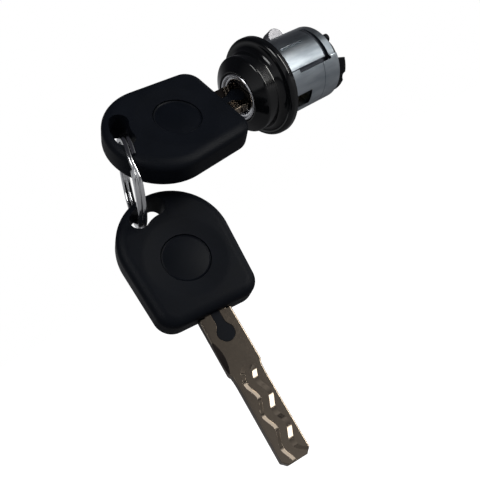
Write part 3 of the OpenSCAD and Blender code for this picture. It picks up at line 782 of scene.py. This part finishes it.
# Each step goes in and up: first the flash, then the straight side, then the soft rim
RIM_STEPS = [(0.02, 0.12), (0.01, 1.98), (0.06, 0.42), (0.14, 0.42), (0.25, 0.42), (0.4, 0.38), (0.6, 0.34),
             (0.8, 0.26), (0.9, 0.16)]
for inwards, upwards in RIM_STEPS:
    bpy.ops.mesh.inset(thickness=inwards * MM, depth=upwards * MM)
bpy.ops.object.mode_set(mode="OBJECT")
print("head top at", round(max(v.co.z for v in head.data.vertices) / MM, 3))
change(head, "MIRROR", use_axis=(False, False, True), use_clip=True, merge_threshold=WELD)

# %% Cut the dish, the disc's seat and the lowered end
HEAD_TOP = 4.5
DISC_PLACE = moved(0, 6, 0)
DISC_FLOOR = 3
DISC_SEAT_R = 7.13
CUTTER_TOP = 7
DISH_DEPTH = 0.8
DISH_R = 99.6
DISH_HALF_ANGLE = 7.27
DISH_EDGE = 12.6
CAP_TILT = 9.2
CAP_LEVEL = 4.56
CAP_TOP = 9
CAP_R = (9, 33)
dish_arc = arc((0, HEAD_TOP - DISH_DEPTH + DISH_R), DISH_R, -90, DISH_HALF_ANGLE - 90, 10)
dish = turn_flat("dish_cutter", dish_arc + [(DISH_EDGE, CUTTER_TOP), (0, CUTTER_TOP)])
settle(dish, DISC_PLACE)
seat_profile = [(0, DISC_FLOOR), (DISC_SEAT_R, DISC_FLOOR), (DISC_SEAT_R, CUTTER_TOP), (0, CUTTER_TOP)]
seat = turn_flat("seat_cutter", seat_profile)
settle(seat, DISC_PLACE)
cap_profile = [(CAP_R[0], CAP_LEVEL), (CAP_R[1], CAP_LEVEL), (CAP_R[1], CAP_TOP), (CAP_R[0], CAP_TOP)]
cap = turn_flat("cap_cutter", cap_profile, 180, 96)
settle(cap, about("X", CAP_TILT))
cut(head, dish, seat, cap)
change(head, "MIRROR", use_axis=(False, False, True), use_bisect_axis=(False, False, True),
       bisect_threshold=WELD / 10, merge_threshold=WELD)
print("head faces:", len(head.data.polygons))

# %% Cut the ring hole
HOLE_R = 11.6
HOLE_HALF = 2.8
HOLE_ENDS = (2.1, 35.1)
HOLE_STEPS = 16
HOLE_CUT_HALF = 6


def on_hole(angle, radius):
    """A point in plan, at an angle from the round end's middle."""
    return (-radius * math.sin(math.radians(angle)), -radius * math.cos(math.radians(angle)))


def hole_side(first, last, radius):
    """One long side of the ring hole."""
    return [on_hole(first + (last - first) * i / HOLE_STEPS, radius) for i in range(HOLE_STEPS + 1)]


def hole_outline():
    """Outline of the ring hole: two arcs and two round ends."""
    first, last = HOLE_ENDS
    far_end = arc(on_hole(last, HOLE_R), HOLE_HALF, 270 - last, 90 - last, HOLE_STEPS)[1:-1]
    near_end = arc(on_hole(first, HOLE_R), HOLE_HALF, 90 - first, -90 - first, HOLE_STEPS)[1:-1]
    ahead = hole_side(first, last, HOLE_R + HOLE_HALF)
    return ahead + far_end + hole_side(last, first, HOLE_R - HOLE_HALF) + near_end


cut(head, prism("hole_cutter", hole_outline(), HOLE_CUT_HALF))
round_edges(head, 0.3, 3, 33)
print("head faces:", len(head.data.polygons))

# %% Keyhole-shaped tongue that holds the blade
TONGUE_END = (0, 29.1)
TONGUE_R = 2.61
TONGUE_HALF_T = 1.44
NECK_HALF = 1.31
NECK_FILLET = 2.2
NECK_START = 20.5


def keyhole_plan(gap):
    """Outline of the keyhole, grown by a gap: a neck that flows into the round end."""
    neck = NECK_HALF + gap
    radius = TONGUE_R + gap
    across = neck + NECK_FILLET
    along = math.sqrt((radius + NECK_FILLET) ** 2 - across ** 2)
    touch = math.degrees(math.atan2(along, -across))
    flank = arc((across, TONGUE_END[1] - along), NECK_FILLET, 180, touch, 6)
    right = [(neck, NECK_START)] + flank[:-1]
    left = [(-x, y) for x, y in reversed(right)]
    return right + arc(TONGUE_END, radius, touch - 180, 360 - touch, 28) + left


tongue = prism("tongue", keyhole_plan(0), TONGUE_HALF_T)
round_edges(tongue, 0.15, 2, 50)
take(head, tongue)
bpy.ops.object.join()
copy_to_keys(head, "head", head_black)

# %% [markdown]
# ### Discs
#
# A plain disc sits in each face. Its rim is rounded and its middle slightly crowned, so that it takes
# a soft light of its own inside the fine dark gap round it.

# %% Turn a disc and copy it to the four faces
DISC_TOP = 3.86
DISC_R = 7.02
RIM_R = 0.25
RIM_Z = 3.46
CROWN_R = 60
CROWN_HALF_ANGLE = 6.2
crown = arc((0, DISC_TOP - CROWN_R), CROWN_R, 90 - CROWN_HALF_ANGLE, 90, 6)
disc_rim = arc((DISC_R - RIM_R, RIM_Z), RIM_R, 0, 70, 4)
disc = turn_flat("disc", [(0, DISC_FLOOR), (DISC_R, DISC_FLOOR)] + disc_rim + crown)
for side, faces in ((0, ("front_disc", "back_disc")), (180, ("back_disc", "front_disc"))):
    for (key, place), node in zip(KEYS.items(), faces):
        twin = twin_of(disc, f"{key}_{node}_crowned")
        settle(twin, place @ about("Y", side) @ DISC_PLACE)
        hand_in(twin, f"{key}_{node}", key, disc_black)
bpy.data.objects.remove(disc)

# %% [markdown]
# ### Blade
#
# The blade is nickel-plated brass or steel, stamped to its plan and milled: a shoulder, a scooped
# edge, a pointed end, and in each face a wavy track in which the lock's wafers ride. The cutter of
# such a track has a taper, so its walls lean, and that is what makes the bright glints on each bend.

# %% Stamp the blade
TANG_HALF = 3.5
TANG_START = 10
SHOULDER_HALF = 5
SHOULDER_END = 39.9
BLADE_HALF = 4.3
BLADE_HALF_T = 1.5
TIP = 66.3
TIP_CUT = 1.4
shoulder = [(TANG_HALF, TANG_START), (TANG_HALF, HEAD_FOOT), (SHOULDER_HALF, HEAD_FOOT),
            (SHOULDER_HALF, SHOULDER_END - 0.5), (SHOULDER_HALF - 0.15, SHOULDER_END)]
# Behind the shoulder the blade draws in along a soft curve
soft_curve = [(BLADE_HALF + 0.25, SHOULDER_END + 0.4), (BLADE_HALF + 0.08, SHOULDER_END + 1.6),
              (BLADE_HALF, SHOULDER_END + 3.2)]
point = [(BLADE_HALF, TIP - TIP_CUT), (BLADE_HALF - TIP_CUT, TIP)]
blade_side = shoulder + soft_curve + point
blade_plan = blade_side + [(-x, y) for x, y in reversed(blade_side)]
blade = prism("milled_blade", blade_plan, BLADE_HALF_T)
round_edges(blade, 0.45, 3, 50)
print("blade faces:", len(blade.data.polygons))

# %% Mill the scoops
SCOOP_R = 16
SCOOP_DEPTH = 0.9
SCOOP_L = 12
SCOOP_U = 34.8
SCOOP_LEAN = 45
scoop_place = (moved(SHOULDER_HALF, SCOOP_U, BLADE_HALF_T) @ about("Y", SCOOP_LEAN)
               @ moved(0, 0, SCOOP_R - SCOOP_DEPTH) @ about("Y", 90))
flips = [about("Y", side) for side in (0, 180)]
for flip in flips:
    bpy.ops.object.select_all(action="DESELECT")
    bpy.ops.mesh.primitive_cylinder_add(vertices=256, radius=SCOOP_R * MM, depth=SCOOP_L * MM)
    scoop = bpy.context.object
    settle(scoop, flip @ scoop_place)
    cut(blade, scoop)
round_edges(blade, 0.2, 2, 35)
print("scooped blade faces:", len(blade.data.polygons))

# %% Mill the tracks and the keyhole
TRACK_START = 41.5
TRACK_PAST_TIP = 1
TRACK_STEPS = 52
TRACK_WAVE = 9
TRACK_SWING = 0.7
TRACK_FLOOR = 0.85
TRACK_FLOOR_HALF = 1.1
TRACK_TOP = 1.8
TRACK_TOP_HALF = 2.85
MOUTH_L = 2.6
MOUTH_GROWTH = 2.6
KEYHOLE_GAP = 0.04
KEYHOLE_CUT_HALF = 3


def track_outline(half):
    """Outline of the track: it starts round, swings from side to side and opens to one side at the tip."""
    right = []
    left = []
    for i in range(TRACK_STEPS + 1):
        u = TRACK_START + (TIP + TRACK_PAST_TIP - TRACK_START) * i / TRACK_STEPS
        middle = TRACK_SWING * math.sin(2 * math.pi * (u - TRACK_START) / TRACK_WAVE)
        flare = MOUTH_GROWTH * max(0, (u - TIP + MOUTH_L) / MOUTH_L)
        right.append((middle + half, u))
        left.append((middle - half - flare, u))
    start = arc((0, TRACK_START), half, 180, 360, 16)[1:-1]
    return right + left[::-1] + start


for flip in flips:
    track_floor = at_height(track_outline(TRACK_FLOOR_HALF), TRACK_FLOOR)
    track_top = at_height(track_outline(TRACK_TOP_HALF), TRACK_TOP)
    track = loft("track_cutter", track_floor, track_top)
    settle(track, flip)
    cut(blade, track)
cut(blade, prism("keyhole_cutter", keyhole_plan(KEYHOLE_GAP), KEYHOLE_CUT_HALF))
round_edges(blade, 0.08, 2, 28)
copy_to_keys(blade, "blade", blade_nickel)

# %% Paint a dark reflection into the scoops
SCOOP_NEAR = 0.03


def in_scoop(centre, to_scoops):
    """Whether a face lies on the round of a scoop's cutter."""
    spots = [to_scoop @ centre / MM for to_scoop in to_scoops]
    return any(abs(math.hypot(spot.x, spot.y) - SCOOP_R) < SCOOP_NEAR for spot in spots)


# The faces of each blade's scoops get the darker finish: a painted dark reflection.
for key, place in KEYS.items():
    to_scoops = [(place @ flip @ scoop_place).inverted() for flip in flips]
    milled = bpy.data.objects[f"{key}_milled_blade"]
    darken(milled, scoop_painted_reflection, lambda centre: in_scoop(centre, to_scoops))

# %% [markdown]
# ## Split ring
#
# The ring is flat spring wire wound twice, with a short cross-over where one turn steps over to the
# other. A path swept with the wire's rounded section follows that step; a spin could not.

# %% Path and section of the ring
RING_MID_R = 12.5
RING_RISE = 1.3
RING_SWEEP = 700
RING_STEPS = 280
CROSS_START = 340
CROSS_SWEEP = 40
WIRE_HALF_W = 1.0
WIRE_HALF_T = 0.6
WIRE_EDGE = 0.38


def ring_point(i):
    """A point on the wire's middle line."""
    turned = RING_SWEEP * i / RING_STEPS
    k = min(1, max(0, (turned - CROSS_START) / CROSS_SWEEP))
    a = math.radians(turned)
    rise = RING_RISE * (k * k * (3 - 2 * k) - 0.5)
    return Vector((RING_MID_R * math.cos(a), RING_MID_R * math.sin(a), rise)) * MM


def wire_section():
    """Outline of the wire: a flat rectangle with rounded corners."""
    w = WIRE_HALF_W - WIRE_EDGE
    t = WIRE_HALF_T - WIRE_EDGE
    outline = []
    for i, corner in enumerate(((w, t), (-w, t), (-w, -t), (w, -t))):
        outline += arc(corner, WIRE_EDGE, 90 * i, 90 * i + 90, 5)
    return [Vector((x, y, 0)) * MM for x, y in outline]


def line_of(name, points, closed):
    """A curve of straight pieces through points in metres."""
    line = bpy.data.curves.new(name, "CURVE")
    line.dimensions = "3D"
    spline = line.splines.new("POLY")
    spline.points.add(len(points) - 1)
    for knot, point in zip(spline.points, points):
        knot.co = (*point, 1)
    spline.use_cyclic_u = closed
    shown = bpy.data.objects.new(name, line)
    bpy.context.collection.objects.link(shown)
    return shown


# %% Sweep the ring
RING_PLACE = moved(-5.00172, -53.2277, -7.64834) @ turned_by((-156.8, -70.5, 51.2))
RING_CROSS_AT = 78
wire = line_of("wire_section", wire_section(), True)
wire.data.dimensions = "2D"
ring = line_of("split_ring_wire", [ring_point(i) for i in range(RING_STEPS + 1)], False)
ring.data.twist_mode = "Z_UP"
ring.data.bevel_mode = "OBJECT"
ring.data.bevel_object = wire
ring.data.use_fill_caps = True
take(ring)
bpy.ops.object.convert(target="MESH")
ring = bpy.context.object
bpy.data.objects.remove(wire)
settle(ring, RING_PLACE @ about("Z", RING_CROSS_AT))
bpy.ops.object.mode_set(mode="EDIT")
close_up()
hand_in(ring, "split_ring", "ring", ring_steel, 60)

# %% [markdown]
# ## Carried-over solids
#
# The other solids already have their true shape. Real edges are never knife sharp, though, and it is
# the small radius on an edge that catches the light, so each of them but the fine springs gets a live
# bevel: its loose triangles are welded, flat faces are joined, edges above an angle are rounded, and
# the normals are weighed so that flats stay flat.

# %% Rounded edges on the solids
SOLID_WELD = 0.002 * MM
FLAT_ANGLE = math.radians(1.0)
SOLID_EDGE_ANGLE = 32
WAFERS = 8


def finish_solid(name, finish, edge=0.0, segments=2):
    """Gives a solid its finish and, where edge is more than 0, rounded edges of that many millimetres."""
    solid = nodes[name]
    solid.data.materials.clear()
    solid.data.materials.append(finish)
    for face in solid.data.polygons:
        face.use_smooth = True
    modify(solid, "weld", "WELD", merge_threshold=SOLID_WELD)
    if edge > 0:
        modify(solid, "join_flats", "DECIMATE", decimate_type="DISSOLVE", angle_limit=FLAT_ANGLE)
        modify(solid, "round_edges", "BEVEL", **bevel(edge, segments, SOLID_EDGE_ANGLE))
    weigh(solid)


finish_solid("retaining_lug", lug_metal, 0.25, 3)
finish_solid("plug", plug_brass, 0.05)
finish_solid("retaining_clip", spring_wire, 0.08)
finish_solid("driver", driver_black, 0.25, 3)
for i in range(1, WAFERS + 1):
    finish_solid(f"wafer_{i}", wafer_brass, 0.04)
    finish_solid(f"wafer_spring_{i}", spring_wire)
print("wafers:", WAFERS)

# %% [markdown]
# ## Lug spring
#
# The coil under the lug is the one piece that changes its shape: its foot stands in the barrel and
# the lug presses its top down. A rigid coil would cut into the lug, so a welded copy of the solid is
# blended between the two bodies, from its foot to its top, and shortens as the lug goes in.

# %% Copy the lug spring
solid_coil = nodes["lug_spring"]
coil = twin_of(solid_coil, "lug_spring_coil")
coil.parent = None
settle(coil, solid_coil.matrix_world.copy())
bpy.ops.object.mode_set(mode="EDIT")
close_up()
bpy.ops.object.shade_smooth_by_angle(angle=math.radians(40))
coil.data.materials.clear()
coil.data.materials.append(spring_wire)
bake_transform(coil)
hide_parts("lug_spring")

# %% [markdown]
# ## Hand over
# ## View
# The colours are shown as they are, without a film look.

# %% Finish
bpy.context.scene.view_settings.view_transform = "Standard"
